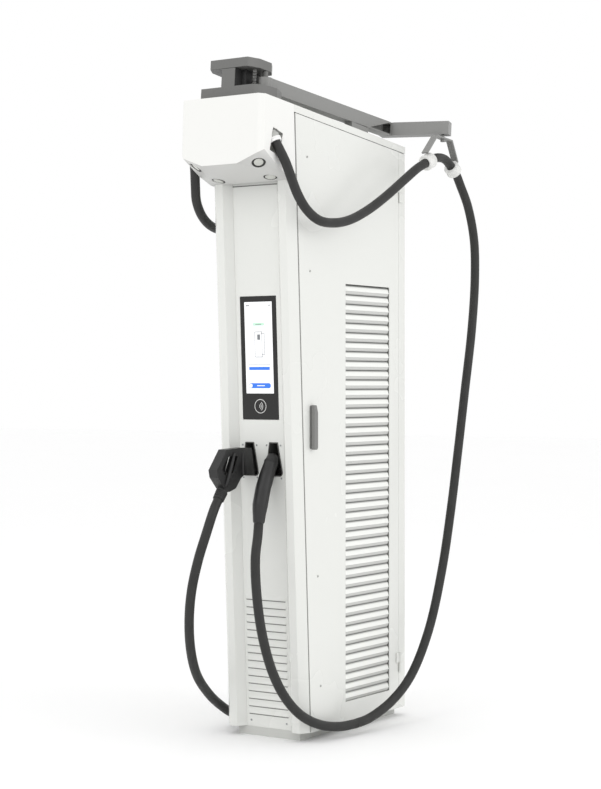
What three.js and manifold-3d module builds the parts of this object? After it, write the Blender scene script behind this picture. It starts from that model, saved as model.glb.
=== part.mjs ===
// Twin-cable EV charging post: a leaning steel cabinet with a lit head, two cable
// swing arms on its roof, two holstered connectors and a louvred service door.
// Millimetres. +Z up, -Y is the front, the origin is the centre of the plinth on the ground.
import * as THREE from 'three';
import { mergeVertices } from 'three/addons/utils/BufferGeometryUtils.js';
import { ConvexGeometry } from 'three/addons/geometries/ConvexGeometry.js';
import Module from 'manifold-3d';

const wasm = await Module();
wasm.setup();

// ---------------------------------------------------------------- driving dimensions
const HALF_WIDTH = 156;
const HALF_DEPTH = 292.5;
const BODY_BOTTOM = 28;
const SHEET = 2.5;
const GAP = 0.4;
const LEAN = THREE.MathUtils.degToRad(2.67);
const ROOF_PITCH = THREE.MathUtils.degToRad(5.05);
const ROOF_FRONT = { y: -553, z: 2002 };
const ROOF_LIP = 23;
const ROOF_GAP = 2;
const DOOR_GAP = 7.2;
const DOOR_REAR = 250;
const FASCIA_TOP = 1762;
const CENTRE_FACE = 1;
const LOUVRE_FIELD = { y0: -85, y1: 189, z0: 96, z1: 1445, count: 44 };
const VENT = { z0: 76, pitch: 24.5, count: 16, width: 147 };
const DISPLAY = { width: 137.5, z0: 1011, z1: 1400 };
const SCREEN = { width: 106, z0: 1093, z1: 1383 };
const HOLSTER_X = 46;
const PIVOT = { right: { x: 83, y: 112, relief: 66 }, left: { x: 60, y: 125, relief: 76 }, pin: 9 };
const ELBOW = { x: 92, y: 823.7 };
const TIP = { x: 305, y: 879 };
const ARM = { width: 40, z0: 30.4, z1: 75.2, wall: 4, rise: 0.01274 };
const BRACKET = { top: 39, webTop: 96, capTop: 123 };
const HANGER_X = 280;
const HANDLE = { y: -280, half: 10, z0: 916, z1: 1056, pivotZ: 1034 };
const CABLE_RADIUS = 15;
const CABLE_STEP = 100;

const lean = Math.tan(LEAN);
const pitch = Math.tan(ROOF_PITCH);
const gapY = (z) => -HALF_DEPTH - lean * z;
const roofZ = (y) => ROOF_FRONT.z - pitch * (y - ROOF_FRONT.y);

// ---------------------------------------------------------------- solids
const toSolid = (geometry) => {
  const bare = geometry.clone();
  bare.deleteAttribute('normal');
  bare.deleteAttribute('uv');
  const merged = mergeVertices(bare, 1e-3);
  return new wasm.Manifold(new wasm.Mesh({
    numProp: 3,
    vertProperties: new Float32Array(merged.attributes.position.array),
    triVerts: new Uint32Array(merged.index.array),
  }));
};

const toGeometry = (solid) => {
  const mesh = solid.getMesh();
  const geometry = new THREE.BufferGeometry();
  geometry.setAttribute('position', new THREE.BufferAttribute(mesh.vertProperties, 3));
  geometry.setIndex(new THREE.BufferAttribute(mesh.triVerts, 1));
  return geometry;
};

const join = (first, ...rest) => (
  toGeometry(rest.reduce((sum, g) => sum.add(toSolid(g)), toSolid(first))));
const cut = (first, ...rest) => (
  toGeometry(rest.reduce((sum, g) => sum.subtract(toSolid(g)), toSolid(first))));

const outline = (points) => new THREE.Shape(points.map(([a, b]) => new THREE.Vector2(a, b)));
const extruded = (shape, depth) => (
  new THREE.ExtrudeGeometry(shape, { depth, bevelEnabled: false, curveSegments: 5 }));
const inBasis = (geometry, ...axes) => {
  const [x, y, z] = axes.map((axis) => new THREE.Vector3(...axis));
  return geometry.applyMatrix4(new THREE.Matrix4().makeBasis(x, y, z));
};

// A plan outline (x, y) raised from z0 to z1.
const plan = (points, z0, z1) => extruded(outline(points), z1 - z0).translate(0, 0, z0);
// A side outline (y, z) spanning x0 to x1.
const profile = (points, x0, x1) =>
  inBasis(extruded(outline(points), x1 - x0), [0, 1, 0], [0, 0, 1], [1, 0, 0]).translate(x0, 0, 0);
// A front shape (x, z) spanning y0 to y1.
const front = (shape, y0, y1) =>
  inBasis(extruded(shape, y1 - y0), [1, 0, 0], [0, 0, 1], [0, -1, 0]).translate(0, y1, 0);
const block = (x0, x1, y0, y1, z0, z1) =>
  new THREE.BoxGeometry(x1 - x0, y1 - y0, z1 - z0)
    .translate((x0 + x1) / 2, (y0 + y1) / 2, (z0 + z1) / 2);

// A round bar from one point to another, of radius r0 at the first and r1 at the second.
const taper = (from, r0, to, r1, sides = 18) => {
  const a = new THREE.Vector3(...from);
  const b = new THREE.Vector3(...to);
  const along = b.clone().sub(a);
  const up = new THREE.Vector3(0, 1, 0);
  const turn = new THREE.Quaternion().setFromUnitVectors(up, along.clone().normalize());
  return new THREE.CylinderGeometry(r1, r0, along.length(), sides)
    .applyQuaternion(turn)
    .translate(...a.add(b).multiplyScalar(0.5).toArray());
};
const rod = (radius, from, to, sides = 20) => taper(from, radius, to, radius, sides);

const roundedRect = (x0, x1, z0, z1, r) => {
  const shape = new THREE.Shape();
  shape.moveTo(x0 + r, z0);
  shape.lineTo(x1 - r, z0);
  shape.absarc(x1 - r, z0 + r, r, -Math.PI / 2, 0, false);
  shape.absarc(x1 - r, z1 - r, r, 0, Math.PI / 2, false);
  shape.absarc(x0 + r, z1 - r, r, Math.PI / 2, Math.PI, false);
  shape.absarc(x0 + r, z0 + r, r, Math.PI, 1.5 * Math.PI, false);
  return shape;
};

const mirrorX = (points) => points.map(([x, ...rest]) => [-x, ...rest]);
const flipped = (geometry) => toGeometry(toSolid(geometry).mirror([1, 0, 0]));

// ---------------------------------------------------------------- scene graph
const post = new THREE.Group();
// Things on the leaning face: local z runs up the face, local y into the cabinet.
const face = new THREE.Group();
face.position.set(0, -HALF_DEPTH, 0);
face.rotation.x = LEAN;
// Things on the sloping roof: local y runs down the slope, local z is square to it.
const roof = new THREE.Group();
roof.position.set(0, ROOF_FRONT.y, ROOF_FRONT.z);
roof.rotation.x = -ROOF_PITCH;
post.add(face, roof);

const PAINT = { color: 0xe9ebe6, roughness: 0.4, metalness: 0.0 };
const STEEL = { color: 0x8c8c8a, roughness: 0.5, metalness: 0.6 };
const DARK = { color: 0x303031, roughness: 0.6, metalness: 0.0 };
const RUBBER = { color: 0x3b3b39, roughness: 0.7, metalness: 0.0 };
const ZINC = { color: 0xd8dadb, roughness: 0.35, metalness: 0.8 };
const PLINTH = { color: 0xd9dad6, roughness: 0.5, metalness: 0.0 };
const BRIGHT = { color: 0xfbfbf8, roughness: 0.35, metalness: 0.0 };
const GLOW = { color: 0xf6f8fa, roughness: 0.2, metalness: 0.0 };
const GREEN = { color: 0x2f6b3c, roughness: 0.6, metalness: 0.0 };

const place = (name, geometry, finish, parent = post) => {
  const mesh = new THREE.Mesh(geometry, new THREE.MeshStandardMaterial(finish));
  mesh.name = name;
  parent.add(mesh);
};
// The same piece on the right (+X) and, mirrored, on the left.
const placePair = (name, geometry, finish, parent = post) => {
  place(`${name}_right`, geometry, finish, parent);
  place(`${name}_left`, flipped(geometry), finish, parent);
};

// ---------------------------------------------------------------- plinth and frame
const ANCHORS = [[-85, -240], [85, -240], [-85, 240], [85, 240]];

// Box-shaped foot with an anchor hole at each corner, under the cabinet's floor pan.
function plinth() {
  const halfWidth = 118;
  const back = HALF_DEPTH - 6;
  const wall = 8;
  const bottom = 6;
  const top = BODY_BOTTOM - GAP;
  const bolts = ANCHORS.map(([x, y]) => rod(7, [x, y, -1], [x, y, bottom + 1], 12));
  const tray = block(-halfWidth, halfWidth, -HALF_DEPTH, back, 0, top);
  const hollow = block(-halfWidth + wall, halfWidth - wall, -HALF_DEPTH + wall, back - wall, bottom, 60);
  const pan = block(-137, 137, -286, 284, top - 0.1, BODY_BOTTOM + 3.2);
  const cableHole = block(-90, 90, -240, -180, 20, 40);
  return join(cut(tray, hollow, ...bolts), cut(pan, cableHole));
}

function framePost(x, y) {
  const side = 24;
  const x0 = x - side / 2;
  return block(x0, x0 + side, y - side / 2, y + side / 2, BODY_BOTTOM + 4, 1880);
}

// ---------------------------------------------------------------- leaning front
// Corner trim: forward band, chamfered outer corner and the sloped wall into the recess.
function cornerTrim() {
  const section = [
    [155.7, -0.3], [155.7, 2.2], [150, 2.2], [150, 6.2], [147.5, 6.2], [147.5, -6],
    [132.4, -23.5], [107.3, -23.5], [87.5, 2.3], [85, 7], [80.5, 7], [80.5, 4.2], [85.5, 4.2],
    [85.5, 0.8], [106.1, -26], [133.6, -26],
  ];
  return plan(section, BODY_BOTTOM, FASCIA_TOP);
}

const holsterShape = (grow) => {
  const shape = new THREE.Shape();
  const top = 16.5 + grow;
  const low = 32 + grow;
  const z0 = 832 - grow;
  const r = 12 + grow;
  shape.moveTo(HOLSTER_X - low + r, z0);
  shape.lineTo(HOLSTER_X + low - r, z0);
  shape.absarc(HOLSTER_X + low - r, z0 + r, r, -Math.PI / 2, 0.15, false);
  shape.lineTo(HOLSTER_X + top, 939 + grow);
  shape.lineTo(HOLSTER_X - top, 939 + grow);
  shape.absarc(HOLSTER_X - low + r, z0 + r, r, Math.PI - 0.15, 1.5 * Math.PI, false);
  return shape;
};

const ventZ = (i) => VENT.z0 + VENT.pitch * i;

// Centre panel: openings for the display and the holsters, and hooded vent slots below.
function frontPanel() {
  const y0 = CENTRE_FACE;
  const half = VENT.width / 2;
  const edge = DISPLAY.width / 2 + 0.8;
  const sheet = block(-85.1, 85.1, y0, y0 + SHEET, BODY_BOTTOM, FASCIA_TOP);
  const window = block(-edge, edge, -5, 10, DISPLAY.z0 - 0.8, DISPLAY.z1 + 0.8);
  const cup = front(holsterShape(0.4), -5, 10);
  const slots = [];
  const hoods = [];
  for (let i = 0; i < VENT.count; i += 1) {
    const z = ventZ(i);
    slots.push(block(-half + 4, half - 4, -5, 10, z + 2, z + 9));
    const lip = [
      [y0 + 1, z + 17], [y0 - 5, z + 5], [y0 - 5, z + 2.5], [y0 - 3.8, z + 2.5], [y0 + 1, z + 12.5],
    ];
    hoods.push(profile(lip, -half, half));
  }
  return join(cut(sheet, window, cup, flipped(cup), ...slots), ...hoods);
}

function holster() {
  const depth = 62;
  const rim = front(holsterShape(0), -0.5, depth);
  const inside = front(holsterShape(-3), -2, depth - 3);
  return cut(rim, inside);
}

function displayParts() {
  const y0 = CENTRE_FACE - 1;
  const half = SCREEN.width / 2;
  const edge = DISPLAY.width / 2;
  const glass = front(roundedRect(-edge, edge, DISPLAY.z0, DISPLAY.z1, 5), y0, y0 + 7);
  const pocket = block(-half, half, -5, y0 + 1.4, SCREEN.z0, SCREEN.z1);
  place('display_bezel', cut(glass, pocket), DARK, face);
  const screen = block(-half + GAP, half - GAP, y0 + 0.3, y0 + 1.1, SCREEN.z0 + GAP, SCREEN.z1 - GAP);
  place('display_screen', screen, GLOW, face);
  place('card_reader', front(roundedRect(-40, 40, 1018, 1086, 8), y0 + 7.5, y0 + 24), DARK, face);
}

// ---------------------------------------------------------------- head
// Outer form of the head, drawn in by t all round.
function headForm(t) {
  const top = (y) => roofZ(y) - t;
  const right = [
    [HALF_WIDTH - t, -537 + t, top(-537)],
    [140 - t * 0.4, -553 + t, top(-553)],
    [HALF_WIDTH - t, gapY(1985), top(gapY(1985))],
    [140 - t * 0.4, -561 + t, 1821 + t],
    [66, -563 + t, 1792.5 + t],
    [HALF_WIDTH - t, -545 + t, 1832 + t],
    [HALF_WIDTH - t, -457, 1777 + t],
    [HALF_WIDTH - t, -396, 1754 + t],
    [HALF_WIDTH - t, gapY(1750), 1750 + t],
    [88, -372, 1745 + t],
  ];
  return new ConvexGeometry([...right, ...mirrorX(right)].map((p) => new THREE.Vector3(...p)));
}

// Cut square to the gap line, so that the head meets the roof cap and the door there.
function headShell() {
  const wall = 3;
  const throat = block(-HALF_WIDTH + wall, HALF_WIDTH - wall, -400, -330, 1762, 1975);
  const inner = toSolid(headForm(wall)).add(toSolid(throat));
  const columnTop = [[-158, 60], [-158, -0.6], [-134, -26.6], [134, -26.6], [158, -0.6], [158, 60]];
  const column = plan(columnTop, 1600, 1775).rotateX(LEAN).translate(0, -HALF_DEPTH, 0);
  const behind = block(-200, 200, 0, 300, 1500, 2200).rotateX(LEAN).translate(0, -HALF_DEPTH, 0);
  const pocket = pocketForm(30, -0.5);
  const passageRight = rod(19, [160, -484, 1853], [179, -466, 1803], 16);
  const passageLeft = rod(19, [-160, -483, 1853], [-179, -453, 1803], 16);
  const collar = rod(19.4, GLAND.back, GLAND.mouth, 20);
  let solid = toSolid(headForm(0)).subtract(inner);
  solid = solid.subtract(toSolid(column)).subtract(toSolid(behind));
  solid = solid.subtract(toSolid(pocket)).subtract(toSolid(flipped(pocket)));
  solid = solid.subtract(toSolid(collar)).subtract(toSolid(flipped(collar)));
  solid = solid.add(toSolid(cablePocket())).add(toSolid(flipped(cablePocket())));
  solid = solid.subtract(toSolid(passageRight)).subtract(toSolid(passageLeft));
  for (const light of downlightPlaces()) {
    solid = solid.subtract(toSolid(rod(22.3, offset(light, 8), offset(light, -14), 24)));
  }
  return toGeometry(solid);
}

const POCKET = { y: -480, z: 1861, length: 58, height: 78, tilt: THREE.MathUtils.degToRad(15) };

function pocketForm(depth, grow, outside = 4) {
  const long = POCKET.length / 2 + grow;
  const high = POCKET.height / 2 + grow;
  return block(HALF_WIDTH - depth, HALF_WIDTH + outside, -long, long, -high, high)
    .rotateX(-POCKET.tilt)
    .translate(0, POCKET.y, POCKET.z);
}

// Open tray let into the head's cheek, in which the cable gland sits.
function cablePocket() {
  const tray = cut(pocketForm(42, 0, -0.3), pocketForm(40, -2));
  return cut(tray, rod(19.6, GLAND.back, GLAND.mouth, 20));
}

const GLAND = { back: [141, -488, 1893], mouth: [155.5, -485, 1861] };

function cableGland() {
  const along = new THREE.Vector3(...GLAND.mouth).sub(new THREE.Vector3(...GLAND.back)).normalize();
  const at = (s) => along.clone().multiplyScalar(s).add(new THREE.Vector3(...GLAND.mouth)).toArray();
  const collar = join(rod(18.5, at(-24), at(-1), 20), rod(14, at(-34), at(-23), 20));
  return cut(collar, rod(8, at(-40), at(-6), 12), rod(16.4, at(-8), at(4), 20));
}

// Name, centre and downward normal of each downlight in the underside of the head.
function downlightPlaces() {
  const v = (x, y, z) => new THREE.Vector3(x, y, z);
  const downward = (a, b, c) => {
    const normal = new THREE.Vector3().crossVectors(b.clone().sub(a), c.clone().sub(a)).normalize();
    return normal.z < 0 ? normal : normal.negate();
  };
  const corner = downward(v(66, -563, 1792.5), v(156, -457, 1777), v(156, -545, 1832));
  const belly = downward(v(66, -563, 1792.5), v(88, -372, 1745), v(156, -457, 1777));
  const onSide = (name, side) => [
    { name: `downlight_front_${name}`, at: v(side * 119, -522, 1797), down: corner, side },
    { name: `downlight_rear_${name}`, at: v(side * 99, -430, 1762.5), down: belly, side },
  ];
  return [...onSide('right', 1), ...onSide('left', -1)]
    .map((p) => ({ ...p, down: v(p.side * p.down.x, p.down.y, p.down.z) }));
}
const offset = (light, s) => light.down.clone().multiplyScalar(s).add(light.at).toArray();

function downlights() {
  for (const light of downlightPlaces()) {
    const rim = rod(21.9, offset(light, 1.5), offset(light, -10), 24);
    const can = rod(16, offset(light, -9), offset(light, -16), 16);
    const dish = rod(17, offset(light, 3), offset(light, 0), 24);
    place(light.name, cut(join(rim, can), dish), DARK);
  }
}

// ---------------------------------------------------------------- roof, sides and back
const LIP_Y1 = HALF_DEPTH + 3;

function roofCap() {
  const y0 = (z) => gapY(z) + GAP;
  const side = [
    [y0(1960), roofZ(y0(1960)) - ROOF_LIP], [LIP_Y1, roofZ(LIP_Y1) - ROOF_LIP],
    [LIP_Y1, roofZ(LIP_Y1)], [y0(1985), roofZ(y0(1985))],
  ];
  const under = [
    [-500, roofZ(-500) - SHEET], [LIP_Y1 - SHEET, roofZ(LIP_Y1 - SHEET) - SHEET],
    [LIP_Y1 - SHEET, 1700], [-500, 1700],
  ];
  const inner = HALF_WIDTH - SHEET;
  const skin = cut(profile(side, -HALF_WIDTH, HALF_WIDTH), profile(under, -inner, inner));
  return join(skin, armRest(), flipped(armRest()));
}

// Foot on the roof under each parked arm.
function armRest() {
  return block(80, 108, 583, 684, -1, 36)
    .rotateX(-ROOF_PITCH)
    .translate(0, ROOF_FRONT.y, ROOF_FRONT.z);
}

// Side outline from the front gap back to y1, drawn in by t.
const sideOutline = (y1, t) => {
  const y0 = (z) => gapY(z) + DOOR_GAP + t;
  const top = (y) => roofZ(y) - ROOF_LIP - ROOF_GAP - t;
  return [
    [y0(BODY_BOTTOM), BODY_BOTTOM + t], [y1 - t, BODY_BOTTOM + t],
    [y1 - t, top(y1 - t)], [y0(1955), top(y0(1955))],
  ];
};

const louvreWindow = () => {
  const { y0, y1, z0, z1 } = LOUVRE_FIELD;
  return block(100, 200, y0, y1, z0, z1);
};

// A folded side skin: outer sheet with a rim turned in all round and the louvre window.
function sideSkin() {
  const rim = 18;
  const skin = profile(sideOutline(DOOR_REAR, 0), HALF_WIDTH - rim, HALF_WIDTH);
  const inside = profile(sideOutline(DOOR_REAR, SHEET), HALF_WIDTH - rim - 5, HALF_WIDTH - SHEET);
  const spindleHole = rod(8.5, [140, HANDLE.y, HANDLE.pivotZ], [170, HANDLE.y, HANDLE.pivotZ], 16);
  return cut(skin, inside, louvreWindow(), spindleHole);
}

// Louvre insert: a surround with sloping blades, each overhanging the gap below it.
function louvreInsert() {
  const f = LOUVRE_FIELD;
  const x0 = HALF_WIDTH - 13;
  const x1 = HALF_WIDTH - 0.8;
  const rail = 4;
  const step = (f.z1 - f.z0 - 2 * rail) / f.count;
  const pieces = [
    block(x0, x1, f.y0 + GAP, f.y0 + rail, f.z0 + GAP, f.z1 - GAP),
    block(x0, x1, f.y1 - rail, f.y1 - GAP, f.z0 + GAP, f.z1 - GAP),
  ];
  for (let i = 0; i < f.count; i += 1) {
    const z = f.z0 + rail + step * i;
    const blade = outline([
      [x0 + 1, z + step], [x0 + 1, z + step - 3], [x1 - 2, z + 9], [x1 - 2, z + 2], [x1, z + 2], [x1, z + 11],
    ]);
    pieces.push(front(blade, f.y0 + rail - 0.5, f.y1 - rail + 0.5));
  }
  return join(...pieces);
}

// Back panel wrapped round both rear corners: a side outline less the space inside it.
function rearPanel() {
  const y0 = DOOR_REAR + 1.5;
  const inner = HALF_DEPTH - SHEET;
  const top = (y) => roofZ(y) - ROOF_LIP - ROOF_GAP;
  const outer = [
    [y0, BODY_BOTTOM], [HALF_DEPTH, BODY_BOTTOM], [HALF_DEPTH, top(HALF_DEPTH)], [y0, top(y0)],
  ];
  const space = block(-HALF_WIDTH + SHEET, HALF_WIDTH - SHEET, y0 - 20, inner, 0, 2000);
  return cut(profile(outer, -HALF_WIDTH, HALF_WIDTH), space);
}

// ---------------------------------------------------------------- door furniture
const HINGE_AXIS = { x: 160.4, y: 252.5 };
const HINGES = [['lower', 182], ['upper', 1768]];
const KNUCKLE = 33;

// Each hinge is a lower half with the pin, on the back panel, and an upper half on the door.
function hingeHalves() {
  const { x, y } = HINGE_AXIS;
  const leafX = HALF_WIDTH + 0.4;
  for (const [name, z] of HINGES) {
    const low = z - KNUCKLE;
    const high = z + KNUCKLE;
    const fixed = join(
      rod(4.2, [x, y, low], [x, y, z - 0.3], 16),
      block(leafX, x, y + 2.6, y + 20, low, z - 0.3),
      block(x - 3, x, y, y + 5, low, z - 0.3),
      rod(2.2, [x, y, z - 10], [x, y, high - 2], 12),
    );
    const barrel = join(
      rod(4.2, [x, y, z + 0.3], [x, y, high], 16),
      block(leafX, x, y - 20, y - 2.6, z + 0.3, high),
      block(x - 3, x, y - 5, y, z + 0.3, high),
    );
    place(`hinge_${name}_fixed_leaf`, fixed, PAINT);
    place(`hinge_${name}_door_leaf`, cut(barrel, rod(2.9, [x, y, z - 5], [x, y, high + 5], 12)), PAINT);
  }
}

// Swing handle: plate, spindle with its latch cam, and the lever that lifts off the plate.
function doorHandle() {
  const { y, z0, z1, pivotZ, half } = HANDLE;
  const x = HALF_WIDTH;
  const axis = (from, to) => [[from, y, pivotZ], [to, y, pivotZ]];
  const plate = inBasis(
    extruded(roundedRect(y - half, y + half, z0 + 2, z1, 5), 3), [0, 1, 0], [0, 0, 1], [1, 0, 0],
  ).translate(x + 0.3, 0, 0);
  place('handle_escutcheon', cut(plate, rod(8.4, ...axis(x - 3, x + 8), 16)), DARK);
  const cam = block(x - 24, x - 20, y - 44, y + 12, pivotZ - 9, pivotZ + 9);
  const shaft = rod(8, ...axis(x - 24, x + 7.5), 16);
  place('handle_spindle', join(shaft, rod(10, ...axis(x + 3.6, x + 5.5), 16), cam), ZINC);
  const sides = [
    [y - half, z0 + 9], [y - 6, z0], [y + 6, z0], [y + half, z0 + 9],
    [y + half, z1 - 9], [y + 6, z1], [y - 6, z1], [y - half, z1 - 9],
  ];
  const edge = y - half;
  const waist = [[edge - 1, z0 + 24], [edge + 3, z0 + 34], [edge + 3, pivotZ - 22], [edge - 1, pivotZ - 12]];
  place('handle_lever', cut(profile(sides, x + 7.9, x + 21), profile(waist, x + 6, x + 23)), STEEL);
}

// ---------------------------------------------------------------- swing arms on the roof
// Bracket: a base on the roof, a web in the middle and a pin for each arm.
function armBracket() {
  const right = [[110, 166], [131, 111], [122, 63], [101, 31.5]];
  const base = plan([...right, ...mirrorX(right).reverse()], 0.4, BRACKET.top);
  const web = block(-24.7, 24.7, 31.5, 150, BRACKET.top - 1, BRACKET.webTop);
  const pin = ({ x, y }) => rod(PIVOT.pin, [x, y, BRACKET.top - 1], [x, y, BRACKET.webTop], 16);
  return join(base, web, pin(PIVOT.right), flipped(pin(PIVOT.left)));
}

function bracketCap() {
  const right = [[68, 154], [91, 117], [90, 70], [70, 31.5]];
  return plan([...right, ...mirrorX(right).reverse()], BRACKET.webTop + GAP, BRACKET.capTop);
}

// Point s along a line from a to b and t to the right of it.
const beside = (a, b, s, t) => {
  const along = new THREE.Vector2(b.x - a.x, b.y - a.y).normalize();
  return [a.x + along.x * s + along.y * t, a.y + along.y * s - along.x * t];
};

// Rectangular tube from the pivot back to the elbow, with a round hub on the pin and a
// tapered opening in its outer wall.
function armBeam(pivot) {
  const { width, z0, z1, wall } = ARM;
  const half = width / 2;
  const length = Math.hypot(ELBOW.x - pivot.x, ELBOW.y - pivot.y);
  const strip = (s0, s1, h) => (
    [[s0, -h], [s0, h], [s1, h], [s1, -h]].map(([s, t]) => beside(pivot, ELBOW, s, t)));
  const hub = rod(half + 3, [pivot.x, pivot.y, z0], [pivot.x, pivot.y, z1], 24);
  const bore = rod(PIVOT.pin + 0.8, [pivot.x, pivot.y, z0 - 2], [pivot.x, pivot.y, z1 + 2], 24);
  const hollow = plan(strip(45, length + 5, half - wall), z0 + wall, z1 - wall);
  const turn = Math.atan2(ELBOW.x - pivot.x, ELBOW.y - pivot.y);
  const wedge = [[length - 128, z0 + wall], [length + 1, z0 + wall], [length + 1, z1 - 1]];
  const mouth = profile(wedge, half - wall - 2, half + 2)
    .rotateZ(-turn).translate(pivot.x, pivot.y, 0);
  return cut(join(plan(strip(0, length, half), z0, z1), hub), hollow, bore, mouth);
}

// Outer length of the arm, turned outwards, under which the cable hanger is bolted.
function armTip() {
  const { width, z0, z1, wall } = ARM;
  const length = Math.hypot(TIP.x - ELBOW.x, TIP.y - ELBOW.y);
  const at = (points) => points.map(([s, t]) => beside(ELBOW, TIP, s, t));
  const outer = at([[-22, -0.8], [-22, -width], [length, -width], [length, 0], [28, 0], [22, -2]]);
  const inner = at([
    [28, -wall], [16, -wall], [14, 6], [-12, 6],
    [-17, wall - width], [length - wall, wall - width], [length - wall, -wall],
  ]);
  return cut(plan(outer, z0, z1), plan(inner, z0 + wall, z1 - wall));
}

// The whole arm climbs gently off the roof and is cut away where it turns over the bracket.
function swingArm(pivot) {
  const climb = new THREE.Matrix4().set(
    1, 0, 0, 0,
    0, 1, 0, 0,
    0, ARM.rise, 1, -ARM.rise * pivot.y,
    0, 0, 0, 1,
  );
  const { x, y, relief } = pivot;
  const clearance = rod(relief, [x, y, 0], [x, y, BRACKET.top + 0.8], 32);
  return cut(join(armBeam(pivot), armTip()).applyMatrix4(climb), clearance);
}

// Bent flat bar under the arm's tip, holding one cable clamp at each foot.
function cableHanger() {
  const bar = [
    [209, 1891.5], [214, 1888], [281, 1952], [379, 1945], [418, 1877], [424, 1880], [383, 1951], [279, 1958],
  ];
  const strap = profile(bar, HANGER_X - 12, HANGER_X + 12);
  const bolt = rod(6, [HANGER_X, 334, 1950], [HANGER_X, 334, 1963.2], 12);
  const head = rod(8.5, [HANGER_X, 334, 1940], [HANGER_X, 334, 1950], 6);
  return join(strap, bolt, head);
}

const CLAMP_1 = { from: [HANGER_X, 216, 1856.5], to: [HANGER_X, 253, 1871.1] };
const CLAMP_2 = { from: [HANGER_X, 390, 1862.5], to: [HANGER_X, 419, 1844.2] };

// Split collar with three raised bands.
function cableClamp({ from, to }) {
  const a = new THREE.Vector3(...from);
  const b = new THREE.Vector3(...to);
  const at = (t) => a.clone().lerp(b, t).toArray();
  const band = (middle) => rod(27, at(middle - 0.09), at(middle + 0.09), 20);
  const body = join(rod(24, at(0), at(1), 20), band(0.19), band(0.5), band(0.81));
  return cut(body, rod(20, at(-0.2), at(1.2), 20));
}

// ---------------------------------------------------------------- connectors
const LEFT_X = -HOLSTER_X;

// Fast-charge connector: shrouded nose in the holster and a D-shaped grip ahead of it.
function gripConnector() {
  const grip = profile([
    [-388, 924], [-482, 920], [-536, 856], [-530, 832], [-510, 812],
    [-494, 796], [-468, 784], [-432, 794], [-405, 824], [-380, 838],
  ], LEFT_X - 18, LEFT_X + 18);
  const finger = profile(
    [[-424, 896], [-474, 894], [-502, 858], [-488, 840], [-450, 846]], LEFT_X - 30, LEFT_X + 30,
  );
  const tapering = (low, high, z0, z1) => outline(
    [[LEFT_X - low, z0], [LEFT_X + low, z0], [LEFT_X + high, z1], [LEFT_X - high, z1]],
  );
  const nose = front(tapering(30, 18, 834, 922), -396, -345);
  const plug = front(tapering(26, 15, 840, 914), -346, -296);
  const relief = taper(CABLE_END_LEFT.inside, 18.5, CABLE_END_LEFT.exit, 16.5);
  return join(cut(grip, finger), nose, plug, relief);
}

// Slim connector: a round tapered handle hanging from a nose in the holster.
function slimConnector() {
  const x = HOLSTER_X;
  const barrel = rod(17, [x, -345, 888], [x, -298, 871], 20);
  const stations = [
    [-335, 893, 17.5], [-350, 872, 20], [-372, 836, 21.5], [-393, 796, 22], [-409, 745, 22], [-414, 718, 19],
  ];
  const links = stations.slice(1).map(([y, z, r], i) => {
    const [ya, za, ra] = stations[i];
    return taper([x, ya, za], ra, [x, y, z], r);
  });
  const balls = stations.slice(1, -1)
    .map(([y, z, r]) => new THREE.SphereGeometry(r * 0.985, 14, 8).translate(x, y, z));
  const relief = taper(CABLE_END_RIGHT.inside, 18.5, CABLE_END_RIGHT.exit, 16);
  return join(barrel, ...links, ...balls, relief);
}

const CABLE_END_LEFT = { inside: [LEFT_X, -478, 796], exit: [LEFT_X, -504, 764] };
const CABLE_END_RIGHT = { inside: [HOLSTER_X, -413.5, 717.5], exit: [HOLSTER_X, -417, 690] };

// ---------------------------------------------------------------- cables
// Centrelines: gland to second clamp, clamp to the foot of the loop, and up to the connector.
// The middle length is given for the right cable and mirrored for the left one.
const CABLE_BACK = [
  [230, -179, 1641], [240, -87, 1678], [252, 5, 1729], [264, 98, 1788], [274, 174, 1836], [280, 216, 1856.5],
  [280, 254, 1871.5], [280, 290, 1882], [280, 328, 1885], [280, 356, 1880.5], [280, 379, 1869.4],
  [280, 404.8, 1853.2],
];
const CABLE_TOP_RIGHT = [
  [156, -485, 1860], [168, -477, 1833], [181, -465, 1796], [191, -446, 1747], [198, -419, 1704],
  [206, -383, 1663], [214, -328, 1634], [222, -260, 1625], ...CABLE_BACK,
];
const CABLE_TOP_LEFT = mirrorX([
  [156, -485, 1860], [168, -473, 1833], [181, -452, 1796], [191, -424, 1747], [198, -396, 1704],
  [206, -363, 1665], [214, -316, 1637], [222, -255, 1626], ...CABLE_BACK,
]);
const CABLE_DROP = [
  [280, 405.4, 1852.8], [280, 427, 1839.2], [280, 456, 1806], [280, 512, 1735], [280, 556, 1623],
  [280, 569, 1485], [280, 551, 1310], [280, 509, 1101], [280, 456, 895], [280, 390, 692],
  [278, 331, 492], [270, 264, 296], [257, 176, 156], [242, 77, 77], [222, -44, 34], [210, -113.8, 31],
];
const CABLE_RISE_RIGHT = [
  [209.8, -115, 31], [198, -186, 33.5], [182, -276, 54], [164, -359, 96], [142, -411, 150],
  [120, -448, 231], [92, -460, 339], [65, -453, 459], [50, -441, 580], [46, -422.5, 648], [46, -417.1, 689.2],
];
const CABLE_RISE_LEFT = [
  [-209.8, -115, 31], [-198.5, -182, 33.5], [-200, -222, 46], [-199, -272, 74], [-190, -352, 123],
  [-167, -453, 203], [-140, -521, 293], [-115, -562, 393], [-90, -582, 489], [-68, -578, 582],
  [-54, -557, 659], [-46, -527, 733], [-46, -504.7, 763.1],
];

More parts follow.
